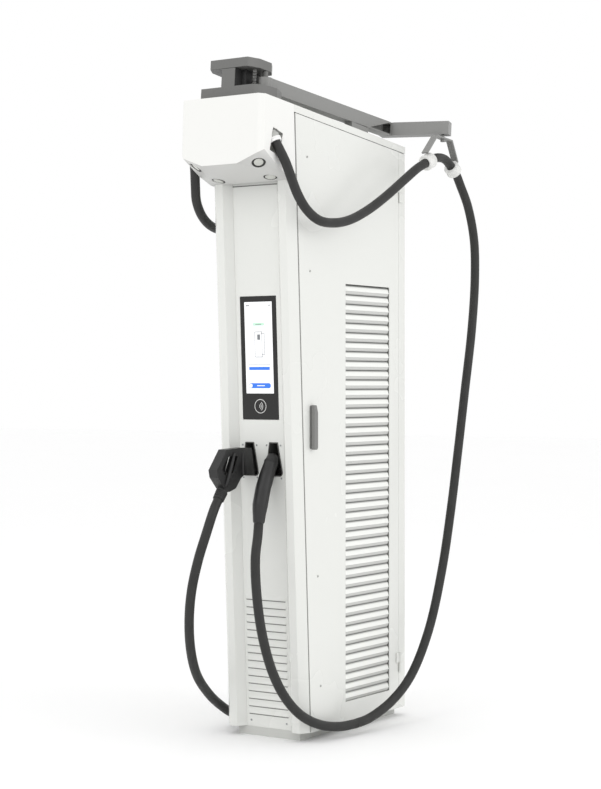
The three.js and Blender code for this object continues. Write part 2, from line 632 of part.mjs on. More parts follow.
function cable(points) {
  const path = new THREE.CatmullRomCurve3(points.map((p) => new THREE.Vector3(...p)), false, 'centripetal');
  const section = new THREE.Shape(Array.from({ length: 8 }, (_, i) => {
    const a = (i / 8) * 2 * Math.PI;
    return new THREE.Vector2(CABLE_RADIUS * Math.cos(a), CABLE_RADIUS * Math.sin(a));
  }));
  return new THREE.ExtrudeGeometry(section, {
    steps: Math.round(path.getLength() / CABLE_STEP), bevelEnabled: false, extrudePath: path,
  });
}

// ---------------------------------------------------------------- equipment inside
function powerModules() {
  const count = 3;
  for (let i = 0; i < count; i += 1) {
    const z = 240 + i * 112;
    const body = block(-104, 104, -150, 240, z, z + 92);
    const grip = cut(block(-60, 60, -168, -149, z + 40, z + 52), block(-50, 50, -162, -151, z + 30, z + 60));
    place(`power_module_${i + 1}`, join(body, grip), ZINC);
  }
}

function electrics() {
  place('mounting_plate', block(-118, -114, -200, 230, 730, 1130), ZINC);
  place('control_board', block(-113.6, -92, 20, 200, 900, 1080), GREEN);
  place('energy_meter', block(-113.6, -60, -180, -100, 960, 1080), PAINT);
  const toggleSlot = block(-70, -45, -45, -25, 980, 1040);
  place('main_breaker', cut(block(-113.6, -50, -70, 0, 940, 1080), toggleSlot), DARK);
  place('breaker_toggle', rod(4, [-63, -35, 1009], [-41, -35, 1018], 10), RUBBER);
  place('dc_contactor', block(20, 90, -160, -60, BODY_BOTTOM + 6, 170), DARK);
}

const FAN = { x0: -138, x1: -106, y: 52, z: 1240, radius: 54 };

function fan() {
  const { x0, x1, y, z, radius } = FAN;
  const square = block(x0, x1, y - 60, y + 60, z - 60, z + 60);
  const duct = rod(radius, [x0 - 5, y, z], [x1 + 5, y, z], 24);
  const motor = rod(17, [x0, y, z], [x0 + 8, y, z], 16);
  const strut = block(x0, x0 + 5, y - 4, y + 4, z - 60, z + 60);
  place('fan_housing', join(cut(square, duct), motor, strut), DARK);
  const blades = Array.from({ length: 7 }, (_, k) => block(-9, 9, -1, 1, 14, 50)
    .rotateZ(0.6).rotateX((k / 7) * 2 * Math.PI).translate(x0 + 20, y, z));
  place('fan_rotor', join(rod(17, [x0 + 9, y, z], [x0 + 30, y, z], 16), ...blades), DARK);
}

// ---------------------------------------------------------------- assembly
place('base_plinth', plinth(), PLINTH);
placePair('frame_post', framePost(122, 268), ZINC);
placePair('corner_trim', cornerTrim(), PAINT, face);
place('front_panel', frontPanel(), PAINT, face);
placePair('holster', holster(), DARK, face);
displayParts();
place('head_shell', headShell(), BRIGHT);
placePair('cable_gland', cableGland(), ZINC);
downlights();
place('roof_cap', roofCap(), PAINT);
place('door_panel', sideSkin(), PAINT);
place('side_panel', flipped(sideSkin()), PAINT);
place('door_louvre', louvreInsert(), PAINT);
place('side_louvre', flipped(louvreInsert()), PAINT);
place('rear_panel', rearPanel(), PAINT);
hingeHalves();
doorHandle();
place('arm_bracket', armBracket(), STEEL, roof);
place('arm_bracket_cap', bracketCap(), STEEL, roof);
place('swing_arm_right', swingArm(PIVOT.right), STEEL, roof);
place('swing_arm_left', flipped(swingArm(PIVOT.left)), STEEL, roof);
placePair('cable_hanger', cableHanger(), STEEL);
placePair('cable_clamp_1', cableClamp(CLAMP_1), ZINC);
placePair('cable_clamp_2', cableClamp(CLAMP_2), ZINC);
place('connector_left', gripConnector(), DARK);
place('connector_right', slimConnector(), DARK);
place('cable_top_right', cable(CABLE_TOP_RIGHT), RUBBER);
place('cable_top_left', cable(CABLE_TOP_LEFT), RUBBER);
placePair('cable_drop', cable(CABLE_DROP), RUBBER);
place('cable_rise_right', cable(CABLE_RISE_RIGHT), RUBBER);
place('cable_rise_left', cable(CABLE_RISE_LEFT), RUBBER);
powerModules();
electrics();
fan();

export default post;
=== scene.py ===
"""Looks of a twin-cable EV charging post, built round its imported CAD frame.

Metres, +Z up, -Y is the front. Positions come from the CAD nodes, or are worked out from the
leaning face and the sloping roof, whose two frames are FACE and ROOF.
"""
import math

import bpy
from mathutils import Matrix, Vector


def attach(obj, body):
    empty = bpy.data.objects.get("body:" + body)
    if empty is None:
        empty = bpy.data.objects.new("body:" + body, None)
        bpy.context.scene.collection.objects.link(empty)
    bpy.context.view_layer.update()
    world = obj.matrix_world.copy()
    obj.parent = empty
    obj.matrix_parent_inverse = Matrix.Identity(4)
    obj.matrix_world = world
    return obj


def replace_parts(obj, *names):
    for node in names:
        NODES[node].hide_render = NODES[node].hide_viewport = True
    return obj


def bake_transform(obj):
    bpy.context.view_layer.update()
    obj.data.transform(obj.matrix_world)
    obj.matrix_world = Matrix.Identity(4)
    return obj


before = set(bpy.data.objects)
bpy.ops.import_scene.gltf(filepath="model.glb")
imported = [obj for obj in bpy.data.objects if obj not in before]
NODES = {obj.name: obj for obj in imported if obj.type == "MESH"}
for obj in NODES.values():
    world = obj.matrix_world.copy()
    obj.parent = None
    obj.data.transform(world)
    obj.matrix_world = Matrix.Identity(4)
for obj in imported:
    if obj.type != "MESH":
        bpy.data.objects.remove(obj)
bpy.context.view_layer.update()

MM = 0.001
HALF_WIDTH = 0.156
HALF_DEPTH = 0.2925
LEAN = math.radians(2.67)
ROOF_PITCH = math.radians(5.05)
FACE = Matrix.Translation((0, -HALF_DEPTH, 0)) @ Matrix.Rotation(LEAN, 4, "X")
FACE_OUTWARD = FACE.to_3x3() @ Vector((0, -1, 0))
ROOF = Matrix.Translation((0, -0.553, 2.002)) @ Matrix.Rotation(-ROOF_PITCH, 4, "X")
ROOF_UP = ROOF.to_3x3() @ Vector((0, 0, 1))
CENTRE_FACE = 0.001
CAP_TOP = 0.1262
PANEL_HALF = 0.0851
CABLE_DIAMETER = 0.030
SIDES = (("right", 1), ("left", -1))


# ---------------------------------------------------------------- camera
def add_camera():
    data = bpy.data.cameras.new("camera")
    data.sensor_width = 36
    data.lens = 84.05
    data.shift_y = -0.0124
    camera = bpy.data.objects.new("camera", data)
    camera.location = (3.3275, -5.1158, 1.1198)
    camera.rotation_euler = (math.radians(90), 0, math.radians(33.63))
    bpy.context.scene.collection.objects.link(camera)
    bpy.context.scene.camera = camera


# ---------------------------------------------------------------- materials
def linear(colour):
    """An sRGB hex colour as a linear RGBA tuple."""
    values = [int(colour[i:i + 2], 16) / 255 for i in (1, 3, 5)]
    return tuple(v / 12.92 if v <= 0.04045 else ((v + 0.055) / 1.055) ** 2.4 for v in values) + (1,)


class Surface:
    """A Principled material whose colour, roughness and bump vary with noise in object space."""

    def __init__(self, name, colour, roughness, metallic=0.0, coat=0.0, specular=0.5):
        self.material = bpy.data.materials.new(name)
        self.material.use_nodes = True
        self.tree = self.material.node_tree
        self.shader = self.tree.nodes["Principled BSDF"]
        self.colour = linear(colour)
        self.shader.inputs["Base Color"].default_value = self.colour
        self.shader.inputs["Roughness"].default_value = roughness
        self.shader.inputs["Metallic"].default_value = metallic
        self.shader.inputs["Coat Weight"].default_value = coat
        self.shader.inputs["Coat Roughness"].default_value = 0.08
        self.shader.inputs["Specular IOR Level"].default_value = specular
        self.coordinates = self.tree.nodes.new("ShaderNodeTexCoord").outputs["Object"]
        self.roughness = roughness
        self.normal = None

    def noise(self, scale, detail=3.0, stretch=(1, 1, 1)):
        mapping = self.tree.nodes.new("ShaderNodeMapping")
        mapping.inputs["Scale"].default_value = stretch
        texture = self.tree.nodes.new("ShaderNodeTexNoise")
        texture.inputs["Scale"].default_value = scale
        texture.inputs["Detail"].default_value = detail
        self.tree.links.new(self.coordinates, mapping.inputs["Vector"])
        self.tree.links.new(mapping.outputs["Vector"], texture.inputs["Vector"])
        return texture.outputs["Fac"]

    def vary_colour(self, scale, low, high, stretch=(1, 1, 1)):
        """Mottles the colour between low and high times its own brightness."""
        ramp = self.tree.nodes.new("ShaderNodeValToRGB")
        ramp.color_ramp.interpolation = "EASE"
        for stop, position, gain in zip(ramp.color_ramp.elements, (0.12, 0.88), (low, high)):
            stop.position = position
            stop.color = tuple(min(1, c * gain) for c in self.colour[:3]) + (1,)
        self.tree.links.new(self.noise(scale, stretch=stretch), ramp.inputs["Fac"])
        self.tree.links.new(ramp.outputs["Color"], self.shader.inputs["Base Color"])
        return self

    def vary_roughness(self, scale, spread, stretch=(1, 1, 1)):
        spans = self.tree.nodes.new("ShaderNodeMapRange")
        spans.interpolation_type = "SMOOTHERSTEP"
        spans.inputs["From Min"].default_value = 0.12
        spans.inputs["From Max"].default_value = 0.88
        spans.inputs["To Min"].default_value = self.roughness - spread
        spans.inputs["To Max"].default_value = self.roughness + spread
        self.tree.links.new(self.noise(scale, stretch=stretch), spans.inputs["Value"])
        self.tree.links.new(spans.outputs["Result"], self.shader.inputs["Roughness"])
        return self

    def darken_as_shade(self, value, unshaded_at, shaded_at, gain):
        """Painted shade: scales the colour from 1 where value is at its unshaded bound to gain where it is
        at its shaded bound.
        """
        spans = self.tree.nodes.new("ShaderNodeMapRange")
        for key, number in (("From Min", unshaded_at), ("From Max", shaded_at), ("To Min", 1.0), ("To Max", gain)):
            spans.inputs[key].default_value = number
        scale = self.tree.nodes.new("ShaderNodeVectorMath")
        scale.operation = "SCALE"
        self.tree.links.new(value, spans.inputs["Value"])
        self.tree.links.new(self.shader.inputs["Base Color"].links[0].from_socket, scale.inputs["Vector"])
        self.tree.links.new(spans.outputs["Result"], scale.inputs["Scale"])
        self.tree.links.new(scale.outputs["Vector"], self.shader.inputs["Base Color"])
        return self

    def axis(self, vector, name):
        split = self.tree.nodes.new("ShaderNodeSeparateXYZ")
        self.tree.links.new(vector, split.inputs["Vector"])
        return split.outputs[name]

    def shade_downward_faces(self, gain):
        """Painted shade: darkens faces that look down."""
        geometry = self.tree.nodes.new("ShaderNodeNewGeometry")
        return self.darken_as_shade(self.axis(geometry.outputs["Normal"], "Z"), 0.0, -0.85, gain)

    def shade_recess(self, outer, inner, gain):
        """Painted shade: darkens what lies deep behind a side skin."""
        depth = self.tree.nodes.new("ShaderNodeMath")
        depth.operation = "ABSOLUTE"
        self.tree.links.new(self.axis(self.coordinates, "X"), depth.inputs[0])
        return self.darken_as_shade(depth.outputs["Value"], outer, inner, gain)

    def bump(self, scale, depth, stretch=(1, 1, 1), detail=2.0):
        node = self.tree.nodes.new("ShaderNodeBump")
        node.inputs["Strength"].default_value = 1.0
        node.inputs["Distance"].default_value = depth
        self.tree.links.new(self.noise(scale, detail, stretch), node.inputs["Height"])
        if self.normal:
            self.tree.links.new(self.normal, node.inputs["Normal"])
        self.normal = node.outputs["Normal"]
        self.tree.links.new(self.normal, self.shader.inputs["Normal"])
        return self


def powder_coat(name, colour, roughness=0.42, underside_shade=0.8):
    """Sprayed powder: a fine orange-peel skin with faint cloudiness, and painted shade on faces that look
    down.
    """
    surface = Surface(name, colour, roughness)
    surface.vary_colour(1.6, 0.995, 1.004).vary_roughness(3, 0.01).shade_downward_faces(underside_shade)
    return surface.bump(420, 0.00005).bump(45, 0.00002).material


def louvre_coat():
    """Powder with painted shade: darker on faces that look down and towards the gap behind each blade."""
    surface = Surface("louvre_powder", "#f2f3ef", 0.4)
    surface.vary_colour(1.6, 0.99, 1.008).vary_roughness(3, 0.02).shade_downward_faces(0.45)
    surface.shade_recess(HALF_WIDTH - 0.0023, HALF_WIDTH - 0.0055, 0.28)
    return surface.bump(420, 0.00005).material


def moulded(name, colour, roughness=0.55, grain=0.00012):
    """Spark-eroded moulded plastic."""
    surface = Surface(name, colour, roughness).vary_colour(30, 0.9, 1.12).vary_roughness(40, 0.06)
    return surface.bump(1500, grain).material


def cable_jacket():
    """Extruded jacket: drawn streaks along its length and a handled, dusty sheen."""
    surface = Surface("cable_jacket", "#2b2b2a", 0.5, specular=0.35)
    surface.vary_colour(18, 0.86, 1.16).vary_roughness(25, 0.08)
    return surface.bump(900, 0.00008).bump(12, 0.0004).material


def galvanised():
    surface = Surface("galvanised", "#b9bcbd", 0.42, metallic=0.85)
    surface.vary_colour(35, 0.82, 1.1).vary_roughness(22, 0.12)
    return surface.bump(260, 0.00005).material


def spring_steel():
    surface = Surface("spring_steel", "#a5a5a3", 0.3, metallic=0.9)
    return surface.vary_colour(60, 0.85, 1.1).bump(800, 0.00004).material


def cover_glass():
    surface = Surface("cover_glass", "#151514", 0.16, coat=0.2, specular=0.4)
    return surface.vary_colour(3, 0.93, 1.06).vary_roughness(14, 0.03).material


def lit(name, colour, strength):
    """A glowing picture element, with a faint mottle as of a backlight."""
    surface = Surface(name, colour, 0.25)
    surface.vary_colour(20, 0.99, 1.0)
    surface.shader.inputs["Emission Color"].default_value = surface.colour
    surface.shader.inputs["Emission Strength"].default_value = strength
    return surface.material


MATERIAL = {
    "body": powder_coat("body_powder", "#e4e5e1", 0.27),
    "head": powder_coat("head_powder", "#ededea", 0.34, 0.68),
    "louvre": louvre_coat(),
    "plinth": powder_coat("plinth_powder", "#c8c9c5", 0.5),
    # Dark grey used as painted shade behind the louvres and vents and in the seams at the head and side
    # skins.
    "painted_shade": powder_coat("painted_shade_powder", "#6a6b67", 0.6),
    "pocket": powder_coat("pocket_powder", "#d3d4d0", 0.45),
    "shade": powder_coat("pocket_shade", "#b3b4b0", 0.5),
    "arm": powder_coat("arm_powder", "#878785", 0.4),
    "bracket": powder_coat("bracket_powder", "#6b6b69", 0.42),
    "handle": powder_coat("handle_powder", "#7a7a78", 0.45),
    "cable": cable_jacket(),
    "zinc": galvanised(),
    "spring": spring_steel(),
    "glass": cover_glass(),
    "dark": moulded("dark_moulding", "#2a2a2a"),
    "connector": moulded("connector_moulding", "#1f1f1f", 0.42, 0.00016),
    "holster": moulded("holster_moulding", "#4c4c4a", 0.5),
    "relief": moulded("relief_moulding", "#262626", 0.6),
    "clamp": moulded("clamp_moulding", "#e9e9e7", 0.45, 0.00005),
    "gland": moulded("gland_moulding", "#f4f4f2", 0.35, 0.00003),
    "lens": moulded("lens_moulding", "#c6c7c1", 0.35, 0.00002),
    "ring": moulded("ring_moulding", "#2c2c2a", 0.5),
    "board": moulded("board_mask", "#2e6b3e", 0.35),
    "meter": moulded("meter_moulding", "#d8d9d7", 0.5),
    "screen": lit("screen_white", "#eff0f1", 0.3),
    "screen_blue": lit("screen_blue", "#3376e0", 0.2),
    "screen_green": lit("screen_green", "#bfeccf", 0.2),
    "screen_grey": lit("screen_grey", "#7d8084", 0.05),
    "print": moulded("printed_white", "#dededc", 0.4),
    "plain": powder_coat("screw_powder", "#b4b5b1", 0.4),
    # Dark grey painted as shade in the screw sockets.
    "socket_shade": moulded("socket_shade_grey", "#5a5a58", 0.5),
}


def paint(obj, material):
    obj.data.materials.clear()
    obj.data.materials.append(MATERIAL[material])
    return obj


# ---------------------------------------------------------------- mesh helpers
def smooth_by_angle():
    """A geometry node group that shades smooth across every edge under about 35 degrees."""
    group = bpy.data.node_groups.new("smooth_by_angle", "GeometryNodeTree")
    group.interface.new_socket("Geometry", in_out="INPUT", socket_type="NodeSocketGeometry")
    group.interface.new_socket("Geometry", in_out="OUTPUT", socket_type="NodeSocketGeometry")
    start = group.nodes.new("NodeGroupInput")
    end = group.nodes.new("NodeGroupOutput")
    faces = group.nodes.new("GeometryNodeSetShadeSmooth")
    edges = group.nodes.new("GeometryNodeSetShadeSmooth")
    edges.domain = "EDGE"
    edges.inputs["Shade Smooth"].default_value = False
    angle = group.nodes.new("GeometryNodeInputMeshEdgeAngle")
    sharp = group.nodes.new("FunctionNodeCompare")
    sharp.operation = "GREATER_THAN"
    sharp.inputs["B"].default_value = math.radians(35)
    group.links.new(start.outputs[0], faces.inputs["Geometry"])
    group.links.new(faces.outputs[0], edges.inputs["Geometry"])
    group.links.new(angle.outputs["Unsigned Angle"], sharp.inputs["A"])
    group.links.new(sharp.outputs[0], edges.inputs["Selection"])
    group.links.new(edges.outputs[0], end.inputs[0])
    return group


SMOOTH = smooth_by_angle()


def soften(obj, width, segments=2, angle=30, weld=True):
    """Rounds an object's edges without touching its own mesh."""
    if weld:
        obj.modifiers.new("weld", "WELD").merge_threshold = 0.00002
        flats = obj.modifiers.new("flats", "DECIMATE")
        flats.decimate_type = "DISSOLVE"
        flats.angle_limit = math.radians(0.4)
    if width:
        edge = obj.modifiers.new("edge", "BEVEL")
        edge.width = width
        edge.segments = segments
        edge.limit_method = "ANGLE"
        edge.angle_limit = math.radians(angle)
        edge.miter_outer = "MITER_ARC"
        edge.use_clamp_overlap = True
    obj.modifiers.new("smooth", "NODES").node_group = SMOOTH
    if width:
        normals = obj.modifiers.new("normals", "WEIGHTED_NORMAL")
        normals.keep_sharp = True
        normals.weight = 80
    return obj


def new_piece(name, points, faces, material, body, matrix=None):
    mesh = bpy.data.meshes.new(name)
    mesh.from_pydata([tuple(p) for p in points], [], faces)
    if matrix:
        mesh.transform(matrix)
    mesh.validate()
    obj = bpy.data.objects.new(name, mesh)
    bpy.context.scene.collection.objects.link(obj)
    paint(obj, material)
    if body:
        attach(obj, body)
    return obj


def rings_to_mesh(rings, closed_ends=True):
    """Points and faces of a skin over equal rings of points, with its two ends filled."""
    count = len(rings[0])
    points = [p for ring in rings for p in ring]
    faces = []
    for i in range(len(rings) - 1):
        for k in range(count):
            a, b = i * count + k, i * count + (k + 1) % count
            faces.append((a, b, b + count, a + count))
    if closed_ends:
        faces.append(tuple(reversed(range(count))))
        faces.append(tuple(range(len(points) - count, len(points))))
    return points, faces


def across(direction):
    """Two unit vectors square to a direction and to each other."""
    d = Vector(direction).normalized()
    side = d.cross(Vector((1, 0, 0)) if abs(d.x) < 0.9 else Vector((0, 1, 0))).normalized()
    return side, d.cross(side).normalized()


def route(points, per_span=9):
    """A smooth centripetal curve through given points."""
    p = [Vector(q) for q in points]
    p = [p[0] * 2 - p[1]] + p + [p[-1] * 2 - p[-2]]
    path = []
    for a, b, c, d in zip(p, p[1:], p[2:], p[3:]):
        t1 = (b - a).length ** 0.5
        t2 = t1 + (c - b).length ** 0.5
        t3 = t2 + (d - c).length ** 0.5
        for i in range(per_span):
            t = t1 + (t2 - t1) * i / per_span
            ab = a.lerp(b, t / t1)
            bc = b.lerp(c, (t - t1) / (t2 - t1))
            cd = c.lerp(d, (t - t2) / (t3 - t2))
            early = ab.lerp(bc, t / t2)
            late = bc.lerp(cd, (t - t1) / (t3 - t1))
            path.append(early.lerp(late, (t - t1) / (t2 - t1)))
    return path + [p[-2]]


def tube_rings(path, radius, sides=20):
    """Rings of points along a path. radius is a number, or a list with one for each point."""
    radii = radius if isinstance(radius, list) else [radius] * len(path)
    heading = (path[1] - path[0]).normalized()
    side, _ = across(heading)
    rings = []
    for i, centre in enumerate(path):
        ahead = path[min(i + 1, len(path) - 1)] - path[max(i - 1, 0)]
        if ahead.length > 1e-9:
            turn = heading.rotation_difference(ahead)
            side = (turn @ side).normalized()
            heading = ahead.normalized()
        up = heading.cross(side)
        angles = [2 * math.pi * k / sides for k in range(sides)]
        rings.append([centre + radii[i] * (math.cos(a) * side + math.sin(a) * up) for a in angles])
    return rings


def tube(name, path, radius, material, body, sides=20):
    points, faces = rings_to_mesh(tube_rings([Vector(p) for p in path], radius, sides))
    return soften(new_piece(name, points, faces, material, body), 0, weld=False)


def spun(profile, base, direction, sides):
    """Rings of points, one for each (distance, radius) station along a direction from a base."""
    d = Vector(direction).normalized()
    side, up = across(d)
    angles = [2 * math.pi * k / sides for k in range(sides)]
    return [[Vector(base) + d * s + r * (math.cos(a) * side + math.sin(a) * up) for a in angles]
            for s, r in profile]


def turned(name, profile, base, direction, material, body, sides=40):
    """A solid turned piece."""
    points, faces = rings_to_mesh(spun(profile, base, direction, sides))
    return soften(new_piece(name, points, faces, material, body), 0, weld=False)


def arc(centre, radius, start, stop, count=6):
    return [(centre[0] + radius * math.cos(a), centre[1] + radius * math.sin(a))
            for a in (math.radians(start + (stop - start) * i / count) for i in range(count + 1))]


def rounded(x0, x1, z0, z1, r, count=5):
    """Outline of a rectangle with round corners."""
    return (arc((x1 - r, z0 + r), r, -90, 0, count) + arc((x1 - r, z1 - r), r, 0, 90, count)
            + arc((x0 + r, z1 - r), r, 90, 180, count) + arc((x0 + r, z0 + r), r, 180, 270, count))


def slab(name, outline, y0, y1, material, body, matrix=FACE, edge=0.0003):
    """A flat piece with an (x, z) outline, from y0 at its front to y1 at its back."""
    rings = [[(x, y, z) for x, z in outline] for y in (y1, y0)]
    points, faces = rings_to_mesh(rings)
    return soften(new_piece(name, points, faces, material, body, matrix), edge, weld=False)


def merged(parts):
    """One set of points and faces from several."""
    points, faces = [], []
    for some_points, some_faces in parts:
        start = len(points)
        points += some_points
        faces += [tuple(start + i for i in face) for face in some_faces]
    return points, faces


def prism(outline, y0, y1):
    """Points and faces of an (x, z) outline from y0 to y1."""
    return rings_to_mesh([[(x, y, z) for x, z in outline] for y in (y1, y0)])


def box(name, low, high, material, body, matrix=None, edge=0.0):
    (x0, y0, z0), (x1, y1, z1) = low, high
    points, faces = prism([(x0, z0), (x1, z0), (x1, z1), (x0, z1)], y0, y1)
    return soften(new_piece(name, points, faces, material, body, matrix), edge, weld=False)


def collar(name, loop, base, direction, material, body, sides=40):
    """A turned ring with a bore: loop is a closed list of (distance, radius) stations."""
    rings = spun(loop + loop[:1], base, direction, sides)
    points, faces = rings_to_mesh(rings, closed_ends=False)
    return soften(new_piece(name, points, faces, material, body), 0, weld=True)


def screw(name, base, direction, body, radius=0.0042, material="zinc"):
    """A low button head, with painted shade in its socket."""
    turned(name, [(-0.0004, radius), (0.0008, radius), (0.0017, radius * 0.8), (0.0021, radius * 0.45)],
           base, direction, material, body, sides=24)
    turned(name + "_socket", [(0.0018, radius * 0.42), (0.00225, radius * 0.42)],
           base, direction, "socket_shade", body, sides=6)


def on_face(x, y, z):
    return FACE @ Vector((x, y, z))


def gap_y(z):
    """Front edge of the column's side at a height."""
    return -HALF_DEPTH - math.tan(LEAN) * z


# ---------------------------------------------------------------- louvres and front panel
# Profiles as (height above the row, distance out of the sheet) in millimetres.
BLADE = [(0, -4.2), (9, -0.9), (10.2, 0.4), (11.2, 0.8), (12.2, 0.7), (22.5, -2.0), (27.5, -5.0), (32, -9)]
VENT_HOOD = [(20, 0), (17, 1.3), (13, 2.9), (9.5, 3.9), (6.8, 4.2), (5, 3.7), (4.2, 2.8)]
HOOD_ENDS = [(0, 0), (0.06, 0.34), (0.18, 0.57), (0.36, 0.77), (0.6, 0.92), (1, 1)]


def hood(profile, low, high, reach, place):
    """Skin of one hood from low to high along its row. place(along, height, swell) gives a point."""
    stations = [(low + reach * t, swell) for t, swell in HOOD_ENDS]
    stations += [(high - reach * t, swell) for t, swell in reversed(HOOD_ENDS)]
    rings = []
    for along, swell in stations:
        outer = [place(along, h * MM, out * swell * MM) for h, out in profile]
        inner = [place(along, h * MM, (out * swell * 0.9 - 1.3) * MM) for h, out in reversed(profile)]
        rings.append(outer + inner)
    return rings_to_mesh(rings)


LOUVRE = {"front": -0.0848, "back": 0.1842, "foot": 0.0962, "top": 1.4448, "pitch": 0.0306136, "rows": 44}


def add_side_louvres():
    """Sloping blades in each window, every one tucked behind the foot of the one above."""
    front, back, foot, top = (LOUVRE[key] for key in ("front", "back", "foot", "top"))
    thickness = 1.3
    for node, sign, body in (("door_louvre", 1, "door"), ("side_louvre", -1, "cabinet")):
        def strip(name, deep, shallow, y0, y1, z0, z1):
            x0, x1 = sorted((sign * deep, sign * shallow))
            box(f"{node}_{name}", (x0, y0, z0), (x1, y1, z1), "painted_shade", body)
        parts = []
        for row in range(LOUVRE["rows"]):
            z0 = foot + LOUVRE["pitch"] * row
            outer = [(h, out) for h, out in BLADE if z0 + h * MM < top]
            outline = outer + [(h, out - thickness) for h, out in reversed(outer)]
            parts.append(rings_to_mesh([
                [(sign * (HALF_WIDTH + out * MM), y, z0 + h * MM) for h, out in outline]
                for y in (front, back)]))
        points, faces = merged(parts)
        blades = new_piece(node + "_blades", points, faces, "louvre", body)
        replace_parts(soften(blades, 0, weld=False), node)
        # Dark strips behind the blades, along the window's rear edge and under the lowest blade: painted
        # shade.
        strip("painted_shade", 0.1400, 0.1410, -0.089, 0.193, 0.092, 1.449)
        strip("stop", 0.1500, 0.1548, 0.1844, 0.1892, 0.0945, 1.4445)
        strip("sill_shade", 0.1500, 0.1548, front, back, 0.0935, 0.0960)


CUP = {"foot": 0.8316, "top": 0.9395, "corner": 0.0124}


def cup_side(x_sign, outward):
    """Edge of the panel along one flank of a holster cup, from its foot to its top."""
    z = CUP["foot"] + CUP["corner"]
    if outward:
        foot = arc((0.066, z), CUP["corner"], -90, 8.6, 6)
        top = (0.0629, CUP["top"])
    else:
        foot = arc((0.026, z), CUP["corner"], 270, 171.4, 6)
        top = (0.0291, CUP["top"])
    return [(x_sign * x, z) for x, z in foot + [top]]


def add_front_panel():
    """Centre sheet with its openings for display and holsters, and 16 hooded vents."""
    y0, y1 = CENTRE_FACE, CENTRE_FACE + 0.0025
    half, foot, top = PANEL_HALF, CUP["foot"], CUP["top"]
    glass_half, glass_foot, glass_top = 0.06955, 1.0102, 1.4008
    fields = [
        (-half, half, glass_top, 1.762),
        (-half, -glass_half, glass_foot, glass_top),
        (glass_half, half, glass_foot, glass_top),
        (-half, half, top, glass_foot),
        (-half, half, 0.028, foot),
    ]
    outlines = [[(a, c), (b, c), (b, d), (a, d)] for a, b, c, d in fields]
    for sign in (1, -1):
        outlines.append([(sign * half, top), (sign * half, foot)] + cup_side(sign, True))
    outlines.append(cup_side(1, False) + list(reversed(cup_side(-1, False))))
    parts = [prism(outline, y0, y1) for outline in outlines]
    for row in range(16):
        z0 = 0.0655 + 0.0245 * row
        parts.append(hood(VENT_HOOD, -0.0795, 0.0795, 0.014, lambda x, h, out: (x, y0 - out, z0 + h)))
        # A dark slot under each hood: painted shade where the vent opens.
        slab(f"vent_shade_{row}", rounded(-0.0755, 0.0755, z0 + 0.0010, z0 + 0.0052, 0.0018, 3),
             y0 - 0.0002, y0 + 0.001, "painted_shade", "cabinet", edge=0)
    points, faces = merged(parts)
    panel = new_piece("front_sheet", points, faces, "body", "cabinet", FACE)
    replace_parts(soften(panel, 0, weld=False), "front_panel")
    for sign in (1, -1):
        screw(f"vent_screw_{sign}", on_face(sign * 0.068, y0, 0.048), FACE_OUTWARD, "cabinet", 0.0032)


# ---------------------------------------------------------------- display
SCREEN = {"top": 1.3826, "foot": 1.0934, "width": 0.1052}
# Picture elements: name, x, distance down as a share of the height, width, height, material,
# corner radius and how far it stands in front of the others.
PICTURE = [
    ("status_clock", -0.040, 0.040, 0.014, 0.0030, "screen_grey", 0.0004, 0),
    ("status_signal", 0.043, 0.040, 0.006, 0.0030, "screen_grey", 0.0004, 0),
    ("rule_top", 0, 0.12, SCREEN["width"] * 0.86, 0.0007, "screen_grey", 0.0002, 0),
    ("state_pill", 0, 0.245, SCREEN["width"] * 0.42, 0.0088, "screen_green", 0.0042, 0),
    ("state_word", 0, 0.245, SCREEN["width"] * 0.22, 0.0022, "screen_grey", 0.0009, 0.00006),
    ("rule_middle", 0, 0.685, SCREEN["width"] * 0.80, 0.0010, "screen_grey", 0.0002, 0),
    ("blue_band", 0, 0.727, SCREEN["width"] * 0.75, 0.0098, "screen_blue", 0.0012, 0),
    ("slider", 0, 0.915, SCREEN["width"] * 0.80, 0.0160, "screen_blue", 0.0079, 0),
    ("slider_knob", -SCREEN["width"] * 0.33, 0.915, 0.0130, 0.0130, "screen", 0.0064, 0.00006),
    ("slider_word", 0.004, 0.915, 0.030, 0.0026, "screen", 0.0008, 0.00006),
    ("rule_bottom", 0, 0.972, SCREEN["width"] * 0.30, 0.0010, "screen_grey", 0.0002, 0),
    ("drawing_left", -0.0150, 0.465, 0.0013, 0.080, "screen_grey", 0.0007, 0),
    ("drawing_right", 0.0120, 0.465, 0.0013, 0.080, "screen_grey", 0.0007, 0),
    ("drawing_top", 0, 0.328, 0.0290, 0.0018, "screen_grey", 0.0007, 0),
    ("drawing_foot", 0, 0.602, 0.0300, 0.0018, "screen_grey", 0.0007, 0),
    ("drawing_arm", 0.0150, 0.345, 0.0150, 0.0013, "screen_grey", 0.0007, 0),
    ("drawing_lead", 0.0215, 0.460, 0.0013, 0.068, "screen_grey", 0.0007, 0),
    ("drawing_plug", 0.0165, 0.575, 0.0110, 0.0016, "screen_grey", 0.0007, 0),
    ("drawing_display", 0, 0.385, 0.0110, 0.0170, "screen_grey", 0.0010, 0),
]


